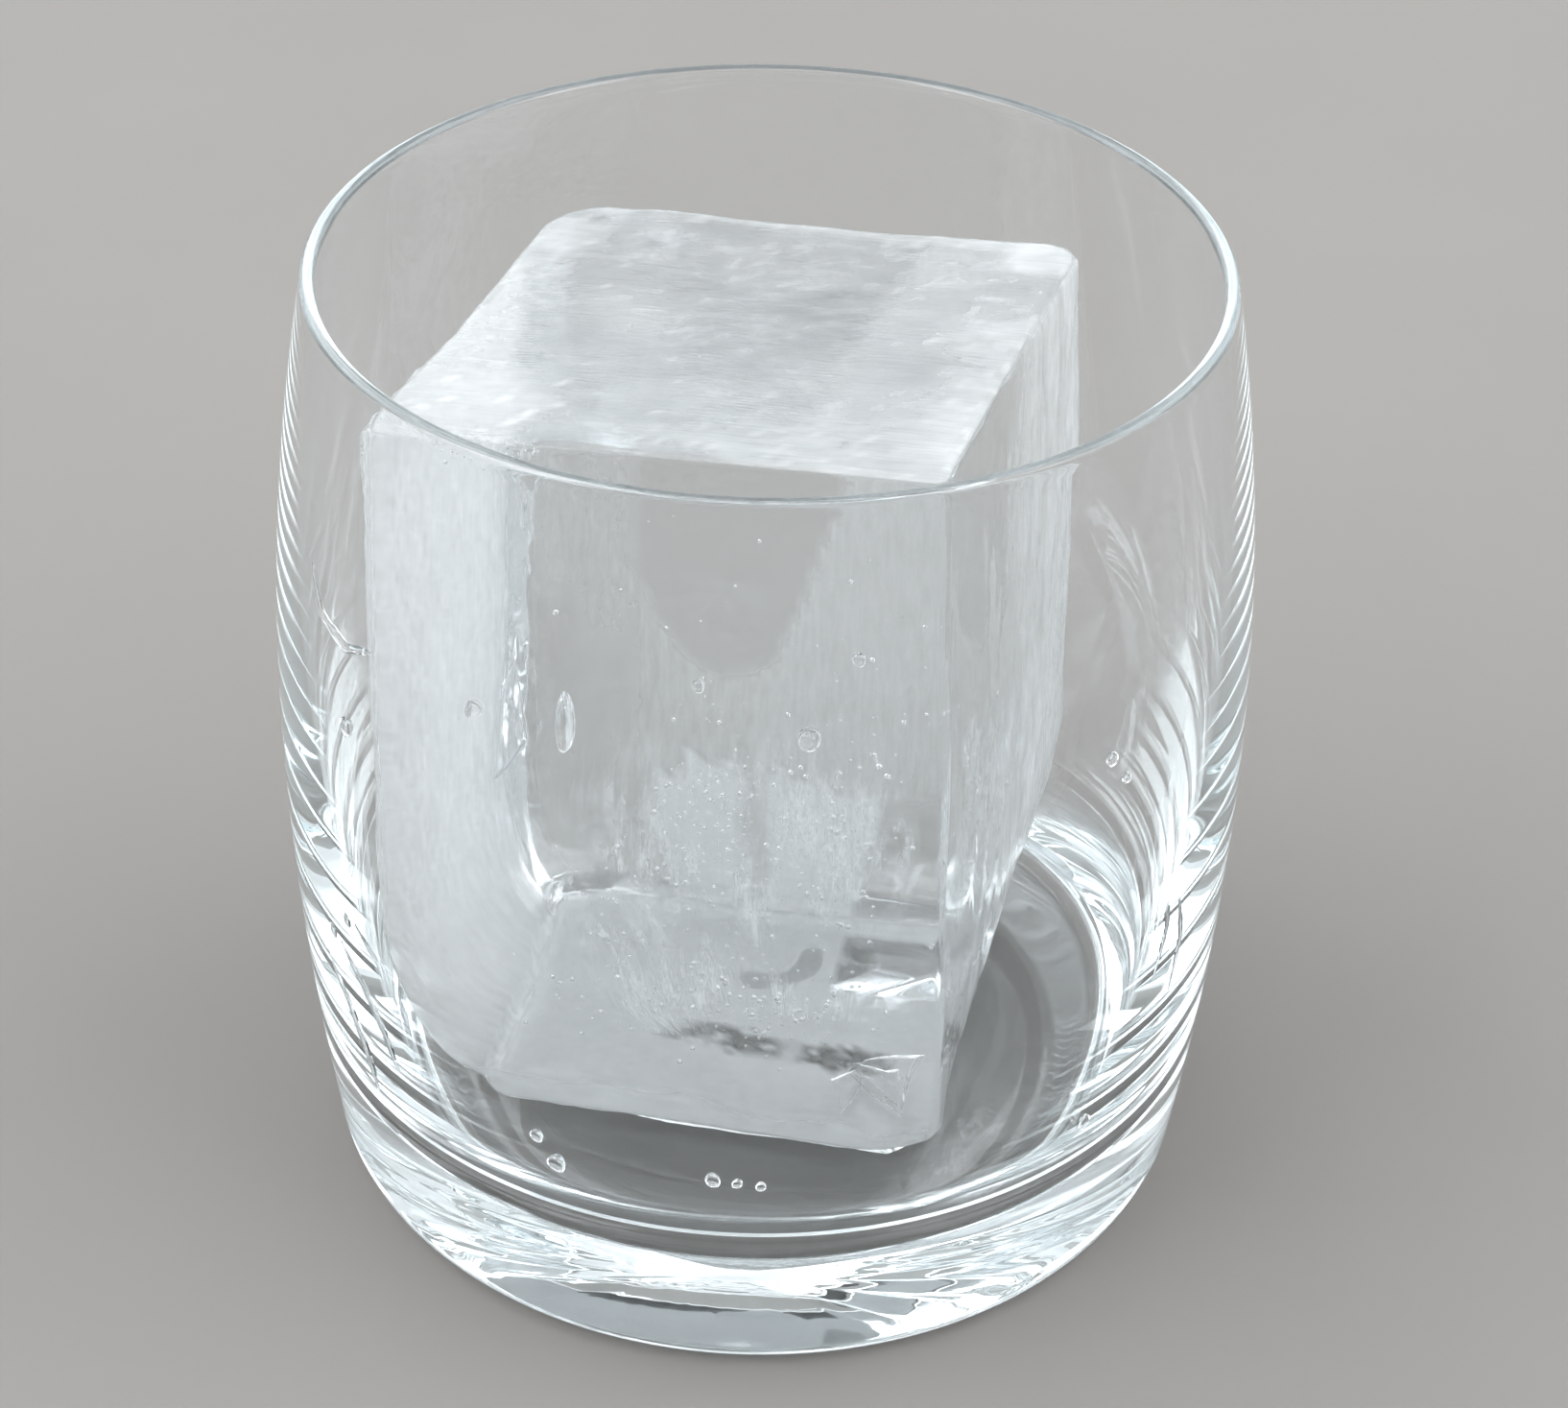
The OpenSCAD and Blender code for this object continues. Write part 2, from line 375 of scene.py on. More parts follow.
BOWL_Z = FLOOR_T + BOWL_R
JOIN_SLOPE = wall_slope(BOWL_Z - BOWL_R * math.sin(wall_slope(BOWL_Z)))
JOIN_Z = BOWL_Z - BOWL_R * math.sin(JOIN_SLOPE)
BOWL_X = inner_r(JOIN_Z) - BOWL_R * math.cos(JOIN_SLOPE)
LIP_R = LIP_T / 2


def wall_face(z):
    """Radius of the inner face at the level z, and how far it has turned from upright towards the floor."""
    if z >= JOIN_Z:
        return inner_r(z), wall_slope(z)
    turn = math.asin((BOWL_Z - z) / BOWL_R)
    return BOWL_X + BOWL_R * math.cos(turn), turn


def arc(cx, cz, r, a0, a1, n):
    """Points of an arc round (cx, cz) from the angle a0 to a1."""
    turns = [a0 + (a1 - a0) * i / n for i in range(n + 1)]
    return [(cx + r * math.cos(a), cz + r * math.sin(a)) for a in turns]


def glass_profile():
    """The glass's outline from the middle of its underside, round the lip, to the middle of its floor."""
    quarter = math.pi / 2
    punt = arc_radius(PUNT_R, PUNT_H)
    foot_x = outer_r(FOOT_ROUND) - FOOT_ROUND
    lip_x = outer_r(HEIGHT - LIP_R) - LIP_R
    low, high = FOOT_ROUND, HEIGHT - LIP_R
    line = [(PUNT_R * i / 16, PUNT_H - punt + math.sqrt(punt**2 - (PUNT_R * i / 16) ** 2)) for i in range(17)]
    line += arc(foot_x, FOOT_ROUND, FOOT_ROUND, -quarter, 0, 14)
    line += [(outer_r(low + (high - low) * i / 90), low + (high - low) * i / 90) for i in range(1, 90)]
    line += arc(lip_x, HEIGHT - LIP_R, LIP_R, 0, 2 * quarter, 16)
    inside = [high + (JOIN_Z - high) * i / 80 for i in range(1, 80)]
    line += [(inner_r(z), z) for z in inside]
    line += arc(BOWL_X, BOWL_Z, BOWL_R, -JOIN_SLOPE, -quarter, 30)
    line += [(BOWL_X * (1 - i / 12), FLOOR_T) for i in range(1, 13)]
    return line


def lathe(name, line, turns, material):
    """A closed solid of revolution from a line of (radius, height) that starts and ends on the axis.

    The wall waves faintly, as pressed glass does, and carries a smear of mist behind on the left."""
    inner = line[1:-1]
    angle = np.arange(turns) * 2 * math.pi / turns
    rings = [np.stack([r * np.cos(angle), r * np.sin(angle), np.full(turns, z)], 1) for r, z in inner]
    verts = np.concatenate([[(0, 0, line[0][1])], *rings, [(0, 0, line[-1][1])]])
    k = np.arange(turns)
    n = (k + 1) % turns
    faces = [(0, 1 + b, 1 + a) for a, b in zip(k, n)]
    for j in range(len(inner) - 1):
        a = 1 + j * turns
        faces += list(zip(a + k, a + n, a + turns + n, a + turns + k))
    last = len(verts) - 1
    a = last - turns
    faces += [(last, a + i, a + j) for i, j in zip(k, n)]
    wave = fractal(verts, (15, 15, 22), 3, 2)
    far = np.maximum(np.linalg.norm(verts[:, :2], axis=1), 1e-6)
    verts[:, :2] *= (1 - 0.012 * ramp(far, 20, 34) * (1 + wave) / 2 / far)[:, None]
    inside = far < np.array([inner_r(min(max(v, BOWL_Z), HEIGHT - LIP_R)) for v in verts[:, 2]]) + 0.3
    bearing = np.degrees(np.arctan2(verts[:, 0], verts[:, 1]))
    smear = ramp(np.abs(bearing + 38), 22, 10) * ramp(np.abs(verts[:, 2] - 76 + 0.12 * bearing), 5, 1)
    return mesh_object(name, verts, faces, material, {"haze": smear * inside})


# ================================================================ the ice
PLAN_SIGNS = ((-1, -1), (1, -1), (1, 1), (-1, 1))


def plan_point(x, y):
    """From the block's own plan, x across and y along its slanted side, to the glass's frame."""
    px, py = x + y * math.sin(ICE_SKEW), y * math.cos(ICE_SKEW)
    c, s = math.cos(ICE_YAW), math.sin(ICE_YAW)
    return ICE_CENTRE[0] + px * c - py * s, ICE_CENTRE[1] + px * s + py * c


def corner_centre(k, out, lean=0.0):
    """Where corner k of the plan is rounded from, out sideways and, in front, moved forward by lean."""
    u, v = PLAN_SIGNS[k]
    px, py = plan_point(u * (ICE_W / 2 - ICE_ROUND + out), v * (ICE_D / 2 - ICE_ROUND))
    step = lean if v < 0 else 0.0
    return np.array([px + step * math.sin(ICE_YAW), py - step * math.cos(ICE_YAW)])


def foot_corner(k):
    """The same at the foot, drawn in to fit the bowl: in front sideways, behind towards the axis."""
    p = corner_centre(k, ICE_FLARE + THICK_OUT[k], ICE_LEAN)
    if PLAN_SIGNS[k][1] > 0:
        return p * min(1.0, FOOT_REACH / np.linalg.norm(p))
    return np.array([math.copysign(min(abs(p[0]), math.sqrt(FOOT_REACH**2 - p[1] ** 2)), p[0]), p[1]])


def edge_lines(half, plain, edge=1.6, steps=7):
    """Positions from -half to half, close together near the two ends."""
    t = np.linspace(0, 1, steps + 1)[1:] ** 1.3
    inner = np.linspace(-half + edge, half - edge, plain + 1)
    return np.concatenate([(-half + edge - edge * t)[::-1], inner, half - edge + edge * t])


def box_surface(xs, ys, zs):
    """Vertices and faces of a box's closed surface, gridded at the given positions."""
    shape = (len(xs), len(ys), len(zs))
    i, j, k = np.meshgrid(*(np.arange(n) for n in shape), indexing="ij")
    shell = (i == 0) | (i == shape[0] - 1) | (j == 0) | (j == shape[1] - 1) | (k == 0) | (k == shape[2] - 1)
    number = np.full(shape, -1)
    number[shell] = np.arange(shell.sum())
    verts = np.stack([xs[i[shell]], ys[j[shell]], zs[k[shell]]], 1)
    faces = []
    for sheet, flip in (
        (number[0], True), (number[-1], False),
        (number[:, 0], False), (number[:, -1], True),
        (number[:, :, 0], True), (number[:, :, -1], False),
    ):
        quad = np.stack([sheet[:-1, :-1], sheet[1:, :-1], sheet[1:, 1:], sheet[:-1, 1:]], -1).reshape(-1, 4)
        faces.append(quad[:, ::-1] if flip else quad)
    return verts, np.concatenate(faces)


def rounded_outline(x, y, z, hx, hy):
    """Points on a rectangle's outline moved onto the same one with rounded corners, and their normals."""
    radius = np.zeros_like(x)
    worn = (FOOT_CORNER_R - UPRIGHT_R[1, -1]) * ramp(z, WORN_Z, ICE_FOOT)
    for (u, v), r in UPRIGHT_R.items():
        quarter = ((x >= 0) == (u > 0)) & ((y >= 0) == (v > 0))
        radius = np.where(quarter, r + (worn if (u, v) == (1, -1) else 0), radius)
    core = np.stack([np.clip(x, radius - hx, hx - radius), np.clip(y, radius - hy, hy - radius)], 1)
    out = np.stack([x, y], 1) - core
    out /= np.maximum(np.linalg.norm(out, axis=1), 1e-9)[:, None]
    return core + radius[:, None] * out, out


def to_glass(p):
    """From the block's own frame to the glass's: narrow at the top, drawn in at the foot, slanted, turned."""
    hx, hy = ICE_W / 2 + ICE_FLARE, ICE_D / 2
    z = p[:, 2]
    bend = ICE_FOOT + ICE_ROUND
    t = np.clip((z - bend) / (ICE_THICK_Z - bend), 0, 1)
    drawn = 1 - np.sqrt(np.clip(1 - (1 - t) ** 2, 0, 1))
    rise = np.clip((z - ICE_THICK_Z) / (ICE_TOP - ICE_THICK_Z), 0, 1)[:, None]
    a, b = p[:, 0] / (hx - ICE_ROUND), p[:, 1] / (hy - ICE_ROUND)
    lean = ICE_LEAN * (ICE_TOP - ICE_THICK_Z) / (ICE_TOP - ICE_FOOT)
    plan = np.column_stack(plan_point(p[:, 0], p[:, 1]))
    for k, (su, sv) in enumerate(PLAN_SIGNS):
        weight = np.clip((1 + su * a) / 2, 0, 1) * np.clip((1 + sv * b) / 2, 0, 1)
        bare = corner_centre(k, ICE_FLARE)
        thick = corner_centre(k, ICE_FLARE + THICK_OUT[k], lean)
        shift = (foot_corner(k) - thick) * drawn[:, None] + (corner_centre(k, TOP_OUT[k]) - thick) * rise
        plan += weight[:, None] * (thick - bare + shift)
    return np.column_stack([plan, z])


def block_surface(plain, inset=0.0):
    """The melted block: vertices in the glass's frame, faces, its own coordinates and masks of its sides."""
    hx, hy = ICE_W / 2 + ICE_FLARE, ICE_D / 2
    zs = edge_lines((ICE_TOP - ICE_FOOT) / 2, plain[2]) + (ICE_TOP + ICE_FOOT) / 2
    q, faces = box_surface(edge_lines(hx, plain[0]), edge_lines(hy, plain[1]), zs)

    # Plan first: each point's outline point and how far in from it the point is
    x = np.where(np.abs(q[:, 0]) + np.abs(q[:, 1]) < 1e-6, 1e-3, q[:, 0])
    m = np.maximum(np.abs(x) / hx, np.abs(q[:, 1]) / hy)
    outline, flat = rounded_outline(x / m, q[:, 1] / m, q[:, 2], hx, hy)
    reach = np.linalg.norm(outline, axis=1)
    inward = (1 - m) * reach

    # Then the edges at the top and foot
    share = {"right": flat[:, 0], "left": -flat[:, 0], "back": flat[:, 1], "front": -flat[:, 1]}
    top_r = sum(r * np.maximum(share[k], 0) ** 2 for k, r in TOP_R.items())
    r = np.where(q[:, 2] > ICE_THICK_Z, top_r, FOOT_EDGE_R)
    core_in = np.maximum(inward, r)
    core_z = np.clip(q[:, 2], ICE_FOOT + r, ICE_TOP - r)
    off_in, off_z = core_in - inward, q[:, 2] - core_z
    length = np.maximum(np.hypot(off_in, off_z), 1e-9)
    off_in, off_z = off_in / length, off_z / length
    inward = core_in - (r - inset) * off_in
    out = np.column_stack([flat * off_in[:, None], off_z])
    p = np.column_stack([outline * (1 - inward / reach)[:, None], core_z + (r - inset) * off_z])

    # Melting, in the block's own frame: slow undulation, ridges up the sides, and the worn left edge
    u, v, z = p[:, 0] / hx, p[:, 1] / hy, p[:, 2]
    left, right = ramp(-out[:, 0], 0.5, 0.9), ramp(out[:, 0], 0.5, 0.9)
    front, back = ramp(-out[:, 1], 0.5, 0.9), ramp(out[:, 1], 0.5, 0.9)
    up, down = ramp(out[:, 2], 0.5, 0.9), ramp(-out[:, 2], 0.5, 0.9)
    slow = SLOW * fractal(q, (14, 14, 18), 11, 2)
    ridges = RIDGES * fractal(q, (2.4, 2.4, 15), 21, 3)
    pits = PITS * fractal(q, (3.0, 3.0, 3.0), 31, 3)
    rough_side = np.maximum(left, right * ramp(v, -0.75, -0.35))
    pitted = np.maximum(rough_side, 0.5 * back + 0.35 * up)
    amount = slow * (1 - 0.75 * front) + ridges * rough_side + pits * pitted
    dent = -HOLLOW * left * np.exp(-(((v - 0.15) / 0.45) ** 2)) * ramp(z, 10, 60)
    bevel = 1 - np.max(np.abs(out), axis=1)
    wear = -WEAR * bevel * np.abs(fractal(q, (4, 4, 4), 41, 3)) * (1 - 0.6 * front)
    chips = CHIPS * bevel * left * up * (1 + fractal(q, (3, 3.4, 3), 43, 2))
    scuffed = SCUFFS * ramp(bevel, 0.1, 0.3) * ramp(-out[:, 0], 0.3, 0.6) * ramp(z, 70, 76)
    wear -= chips + scuffed * np.abs(fractal(q, (2.2, 2.2, 2.2), 44, 2))
    lumps = LUMPS * (left + 0.4 * back) * fractal(q, (4.5, 4.5, 5), 45, 2) * ramp(z, 62, 76)
    p = p + (amount + dent + wear + lumps)[:, None] * out

    sides = {
        "left": left, "right": right, "front": front, "back": back,
        "up": up, "down": down, "u": u, "v": v,
    }
    return to_glass(p), faces, p, sides


def between(x, low, high, soft):
    """1 from low to high, falling softly to 0 outside."""
    return ramp(x, low - soft, low + soft) * ramp(x, high + soft, high - soft)


def left_cover(p, side):
    """The left face was against the mould: white nearly all over, streaked near the front."""
    y, z = p[:, 1], p[:, 2]
    slanted = np.column_stack([p[:, 0], y + 0.35 * z, z])
    streaks = fractal(slanted, (3, 1.6, 9), 51, 4)
    fine = fractal(slanted, (1.6, 0.7, 5), 58, 3)
    cover = 0.78 + 0.12 * ramp(z, 45, 20)
    cover = cover + 0.45 * streaks * ramp(side["v"], 0.3, -0.6) + 0.22 * fine
    edge = side["v"] + 0.05 * fractal(p, (3, 3, 9), 61, 3)
    return cover * (1 - 0.35 * ramp(edge, 0.44, 0.48)) * (1 - 0.9 * ramp(edge, 0.60, 0.66))


def right_cover(p, side):
    """The right face is clear beside the front edge, then white, most of all along its far edge."""
    v, z = side["v"], p[:, 2]
    drift = 0.30 * fractal(p, (5, 5, 14), 52, 4)
    cover = 0.32 * ramp(v + drift, -0.30, 0.25) + 0.58 * ramp(v + drift, 0.35, 0.8)
    cover += 0.40 * ramp(z, 42, 26) * ramp(v + drift, -0.6, 0.0)
    return (cover + 0.06) * (1 + 0.45 * fractal(p, (2, 1.2, 6), 59, 3))


def back_cover(p, side):
    """The back face has a clear wedge, faint veils beside it and two ragged white patches low down."""
    x, z = p[:, 0], p[:, 2]
    shake = 1.6 * fractal(p, (5, 5, 8), 53, 4)
    curve = 1.3 * fractal(p, (9, 9, 13), 53, 2)
    wedge_left = -20 + 0.6 * (53 - z) + curve
    wedge_right = 4.4 - 0.33 * (56 - z) + 0.6 * curve
    wedge_floor = 35.5 + 0.12 * (x + 6) ** 2 + 0.5 * curve
    torn = z + 3.2 * fractal(p, (1.6, 1.6, 5), 54, 4)
    cover = np.maximum.reduce([
        0.44 * ramp(x, wedge_right - 0.4, wedge_right + 0.5),
        0.30 * ramp(x, wedge_left + 0.7, wedge_left - 0.7) * (1 - ramp(x, -14, -18) * ramp(z, 46, 40)),
        0.36 * ramp(z, wedge_floor + 1.0, wedge_floor - 1.0) * between(x, -14, 4, 2),
        0.22 * ramp(z, 38, 30),
        0.26 * between(x, -21, -15, 1.0) * between(z, 36, 60, 4),
        between(x + 0.5 * shake, -13, -4.6, 0.5) * ramp(torn, 25, 23),
        between(x + 0.5 * shake, -2.2, 9.0, 0.4) * ramp(torn, 24, 22),
    ])
    return cover * (1 - 0.85 * ramp(x, 9.2, 10.2) * ramp(z, 24, 20))


def painted_shade_band(p):
    """Painted shade: a dark speckled band across the underside, broken at its middle, where the light under
    the block doesn't reach.
    """
    x, y = p[:, 0], p[:, 1]
    shake = fractal(p, (2.0, 2.0, 2.0), 55, 4)
    slanted = y + 0.12 * (x - 5) + 2.6 * shake
    band = between(x + 2 * shake, -7, 18, 2.5) * between(slanted, -6.4, -1.8, 0.9)
    speckle = ramp(fractal(p, (0.9, 0.9, 0.9), 62, 3), -0.45, 0.1)
    return band * (1 - 0.8 * between(x, 5.5, 8.5, 1.0)) * speckle


def foot_cover(p, side):
    """The underside is white, with a dark speckled band of painted shade across it where the frost is also a
    little thinner, and a clear spot at its back right.
    """
    x, y = p[:, 0], p[:, 1]
    shake = fractal(p, (2.5, 2.5, 2.5), 55, 4)
    cover = 0.97 - 0.25 * painted_shade_band(p)
    return cover * (1 - 0.9 * between(x + shake, 9.5, 30, 0.6) * between(y + shake, 7.5, 19, 0.8))


def top_cover(p, side):
    """The top is thinly veiled and finely scratched, with whiter edges and corners."""
    u, v, x, y = side["u"], side["v"], p[:, 0], p[:, 1]
    cloud = fractal(p, (9, 4, 9), 56, 4)
    scratches = fractal(p, (3.2, 0.7, 7), 60, 3)
    grains = ramp(fractal(p, (0.9, 0.9, 0.9), 64, 2), 0.28, 0.5)
    cover = 0.17 + 0.20 * cloud + 0.14 * scratches + 0.14 * grains
    cover += 0.30 * ramp(v + 0.03 * cloud, 0.86, 0.92)
    cover += 0.30 * ramp(u + 0.26 * cloud, 0.62, 1.0) * between(v, -0.95, 0.35, 0.25)
    cover += 0.22 * ramp(v + 0.2 * cloud, -0.35, -0.85) * ramp(u, -0.1, 0.6)
    cover += 0.10 * ramp(u + 0.15 * cloud, -0.66, -0.90)
    cover += (0.20 + 0.5 * grains) * ramp(np.hypot(x + 17, y + 16) + 2 * cloud, 8, 4)
    cover += 0.4 * ramp(np.hypot(x - 23, y - 19), 5, 2.5) + 0.3 * ramp(np.hypot(x + 22, y - 16), 5, 2.5)
    return cover


def surface_attributes(p, side):
    """What the ice's and the frost's materials read at each point."""
    top, down = side["up"], side["down"]
    # Each side's mask, what finds its cover, and how strongly its streaks stand out
    faces = (
        (side["left"], left_cover, 0.9), (side["right"], right_cover, 1.1), (side["back"], back_cover, 0.9),
        (down, foot_cover, 0.8), (top, top_cover, 1.0),
    )
    cover, swing, frost = np.zeros(len(p)), np.zeros(len(p)), np.zeros(len(p))
    for share, find, contrast in faces:
        here = share * np.clip(find(p, side), 0, 1)
        cover = np.maximum(cover, here)
        swing = np.maximum(swing, contrast * here * (1.25 - here))
        if share is not top:
            frost = np.maximum(frost, here)
    low_front = side["front"] * ramp(p[:, 2] + 2 * fractal(p, (7, 7, 11), 57, 4), 14.5, 11)
    cover = np.maximum(cover, 0.5 * low_front)
    lid = top > 0.5
    along = np.where(side["left"] + side["right"] > 0.5, p[:, 1], p[:, 0])
    pattern = np.column_stack([
        np.where(lid, p[:, 0] / 6.0, along / 0.9),
        np.where(lid, p[:, 1] / 0.35, 0.0),
        np.where(lid, 0.0, p[:, 2] / 5.0),
    ])
    under = down > 0.5
    pattern[under] = p[under] / (1.8, 1.8, 1.8)
    lumps = fractal(p, (5, 5, 7), 97, 2)
    rough = frost * (0.24 + 0.10 * lumps) + top * 0.10
    return {
        "pattern": pattern, "cover": cover, "swing": swing, "rough": rough,
        # The shade entry is the painted shade of the underside's dark band
        "relief": np.clip(frost + 0.6 * top, 0, 1), "shade": down * painted_shade_band(p),
    }


# ================================================================ inside the ice
def ball(steps=1):
    """Vertices and faces of a unit ball of triangles."""
    bm = bmesh.new()
    bmesh.ops.create_icosphere(bm, subdivisions=steps, radius=1)
    verts = np.array([v.co[:] for v in bm.verts])
    faces = np.array([[v.index for v in f.verts] for f in bm.faces])
    bm.free()
    return verts, faces


def bubbles(seed, clusters):
    """Trapped air: many tiny balls round points given in the block's own frame.

    Each cluster is (centre, spread, count, least radius, greatest radius), in mm."""
    rng = np.random.default_rng(seed)
    unit, unit_faces = ball()
    centres, radii = [], []
    for centre, spread, count, small, large in clusters:
        at = rng.normal(0, 1, (count, 3)).clip(-2.2, 2.2) * spread + centre
        at[:, 0] = at[:, 0].clip(-BUBBLE_X, BUBBLE_X)
        at[:, 1] = at[:, 1].clip(-BUBBLE_Y, BUBBLE_Y)
        at[:, 2] = at[:, 2].clip(BUBBLE_LOW, ICE_TOP - BUBBLE_LID)
        centres.append(at)
        radii.append(small + (large - small) * rng.random(count) ** 3)
    centres, radii = to_glass(np.concatenate(centres)), np.concatenate(radii)
    verts = (centres[:, None, :] + radii[:, None, None] * unit[None]).reshape(-1, 3)
    faces = (unit_faces[None] + len(unit) * np.arange(len(centres))[:, None, None]).reshape(-1, 3)
    return verts, faces


def slab(outline, thickness, shape):
    """A closed thin sheet: a grid of points in the block's own frame, given twice with a gap between."""
    nu, nv = shape
    near, far = outline, outline + thickness
    verts = np.concatenate([near, far])
    i, j = np.meshgrid(np.arange(nu - 1), np.arange(nv - 1), indexing="ij")
    a = (i * nv + j).ravel()
    quads = np.stack([a, a + nv, a + nv + 1, a + 1], 1)
    n = nu * nv
    rim = np.concatenate([
        np.arange(nv), np.arange(1, nu) * nv + nv - 1,
        (nu - 1) * nv + np.arange(nv - 2, -1, -1), np.arange(nu - 2, 0, -1) * nv,
    ])
    after = np.roll(rim, -1)
    sides = np.stack([rim, after, after + n, rim + n], 1)
    return verts, np.concatenate([quads, quads[:, ::-1] + n, sides[:, ::-1]])


def veils():
    """Cloudy curtains of fine air, upright inside the block, ragged along their tops."""
    verts, faces, own = [], [], []
    total = 0
    for y, x0, x1, top, seed in ((-9, -14, 12, 34, 71), (0, -18, 17, 44, 72), (9, -16, 19, 40, 73)):
        nu, nv = 40, 36
        gx, gz = np.meshgrid(np.linspace(x0, x1, nu), np.linspace(11.5, top, nv), indexing="ij")
        flat = np.stack([gx.ravel(), np.full(gx.size, float(y)), gz.ravel()], 1)
        flat[:, 1] += 3.0 * fractal(flat, (9, 9, 14), seed, 3)
        v, f = slab(flat, np.array([0, 0.12, 0]), (nu, nv))
        edge = np.minimum(ramp(gx, x0, x0 + 6), ramp(gx, x1, x1 - 6)) * ramp(gz, top, top - 14)
        cloud = ramp(fractal(flat, (6, 6, 9), seed + 10, 3), -0.15, 0.35)
        edge = 0.55 * edge * cloud.reshape(edge.shape)
        own.append(np.concatenate([edge.ravel()] * 2))
        verts.append(v)
        faces.append(f + total)
        total += len(v)
    verts = np.concatenate(verts)
    return to_glass(verts), np.concatenate(faces), verts, np.concatenate(own)


def crack(a, b, c, d, bulge, seed, n=14):
    """A thin curved fracture over the patch with corners a, b, c, d, in the block's own frame."""
    a, b, c, d = (np.array(k, float) for k in (a, b, c, d))
    steps = np.linspace(0, 1, n)
    s, t = (k.ravel()[:, None] for k in np.meshgrid(steps, steps, indexing="ij"))
    sheet = a * (1 - s) * (1 - t) + b * s * (1 - t) + c * s * t + d * (1 - s) * t
    normal = np.cross(c - a, d - b)
    normal /= np.linalg.norm(normal)
    swell = 4 * bulge * (s * (1 - s) + t * (1 - t)) / 2
    swell = swell + 0.35 * fractal(sheet, (2.5, 2.5, 2.5), seed, 3)[:, None]
    verts, faces = slab(sheet + swell * normal, CRACK_GAP * normal, (n, n))
    return to_glass(verts), faces


# ================================================================ water
def islands(obj):
    """Centre and half size, in mm, of each separate solid of a CAD node."""
    bm = bmesh.new()
    bm.from_mesh(obj.data)
    bmesh.ops.remove_doubles(bm, verts=bm.verts, dist=1e-7)
    left, found = set(bm.verts), []
    while left:
        reach, group = [left.pop()], []
        while reach:
            v = reach.pop()
            group.append(v.co / MM)
            for e in v.link_edges:
                other = e.other_vert(v)
                if other in left:
                    left.remove(other)
                    reach.append(other)
        points = np.array([p[:] for p in group])
        found.append(((points.min(0) + points.max(0)) / 2, np.linalg.norm(np.ptp(points, axis=0)) / 2))
    bm.free()
    return sorted(found, key=lambda item: (round(item[0][2], 2), round(item[0][0], 2)))


def surface_tree(obj):
    """What finds the nearest point of an object's surface."""
    return BVHTree.FromObject(obj, bpy.context.evaluated_depsgraph_get())


def bead_mesh(tree, centre, radius, tall=1.0, seed=0):
    """A hanging bead of water on the nearest surface: fuller below, its back sunk into what carries it."""
    hit, normal, _, _ = tree.find_nearest(Vector(centre) * MM)
    n = np.array(normal[:])
    n /= np.linalg.norm(n)
    down = np.array([0.0, 0.0, -1.0]) if abs(n[2]) < 0.95 else np.array([0.0, -1.0, 0.0])
    down -= down.dot(n) * n
    down /= np.linalg.norm(down)
    side = np.cross(n, down)
    at = np.array(hit[:]) / MM
    rng = np.random.default_rng(seed)
    wobble = rng.uniform(-0.08, 0.08, 3)
    rings, around = 9, 28
    phi = np.arange(around) * 2 * math.pi / around
    shape = 1 + wobble[0] * np.cos(2 * phi + 1) + wobble[1] * np.cos(3 * phi + 2)
    width = shape * (1 + 0.16 * np.cos(phi)) / math.sqrt(tall)
    height = shape * math.sqrt(tall) * (1 + 0.1 * np.cos(phi))
    verts = [at + n * radius * 0.6]
    for i in range(1, rings + 1):
        share = i / rings
        lift = 0.6 * math.sqrt(max(0.0, 1 - share**2.4))
        across = radius * share * width * np.sin(phi)
        along = radius * share * height * np.cos(phi)
        rise = radius * lift * (1 + 0.25 * share * np.cos(phi))
        verts.extend(at + across[:, None] * side + along[:, None] * down + rise[:, None] * n)
    edge = np.array(verts[-around:])
    verts.extend(edge - n * SUNK)
    verts.append(at - n * SUNK)
    k = np.arange(around)
    m = (k + 1) % around
    faces = [(0, 1 + a, 1 + b) for a, b in zip(k, m)]
    quads = []
    for i in range(rings):
        base = 1 + i * around
        quads += list(zip(base + k, base + around + k, base + around + m, base + m))
    last = 1 + (rings + 1) * around
    faces += [(last, last - around + b, last - around + a) for a, b in zip(k, m)]
    return verts, faces + quads


